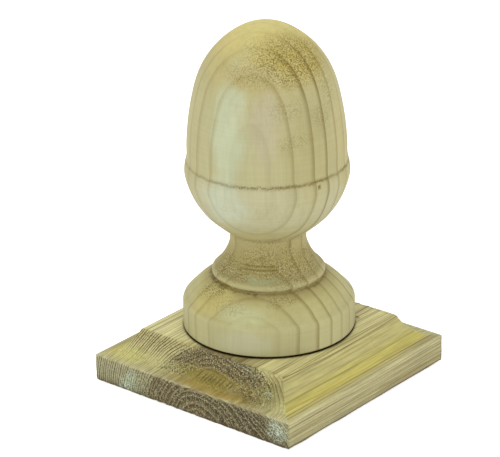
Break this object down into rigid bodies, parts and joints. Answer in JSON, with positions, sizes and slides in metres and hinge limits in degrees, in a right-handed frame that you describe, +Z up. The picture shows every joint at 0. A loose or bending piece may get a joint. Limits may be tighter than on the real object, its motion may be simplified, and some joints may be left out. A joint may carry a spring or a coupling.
{
  "type": "fence post cap",
  "caption": "Timber fence post cap: an acorn finial turned from one blank, screwed from beneath to a square moulded base plate that sits on top of the post.",
  "frame": {"origin": "centre of the plate's underside, which is the lowest point of the part", "axes": "+Z up through the finial's crown, the turning axis. X and Y are square to the plate's edges; the plate's grain runs along Y, so its end grain shows on the -Y and +Y sides"},
  "size_m": [0.1, 0.1, 0.1497],
  "materials": {
    "plate_pine": "rough-machined pressure-treated pine, matte",
    "turned_pine": "sanded pressure-treated pine, satin",
    "zinc_steel": "bright zinc plate"
  },
  "bodies": {
    "root": {"base_plate": "plate_pine", "acorn_finial": "turned_pine", "fixing_screw": "zinc_steel"}
  },
  "joints": []
}
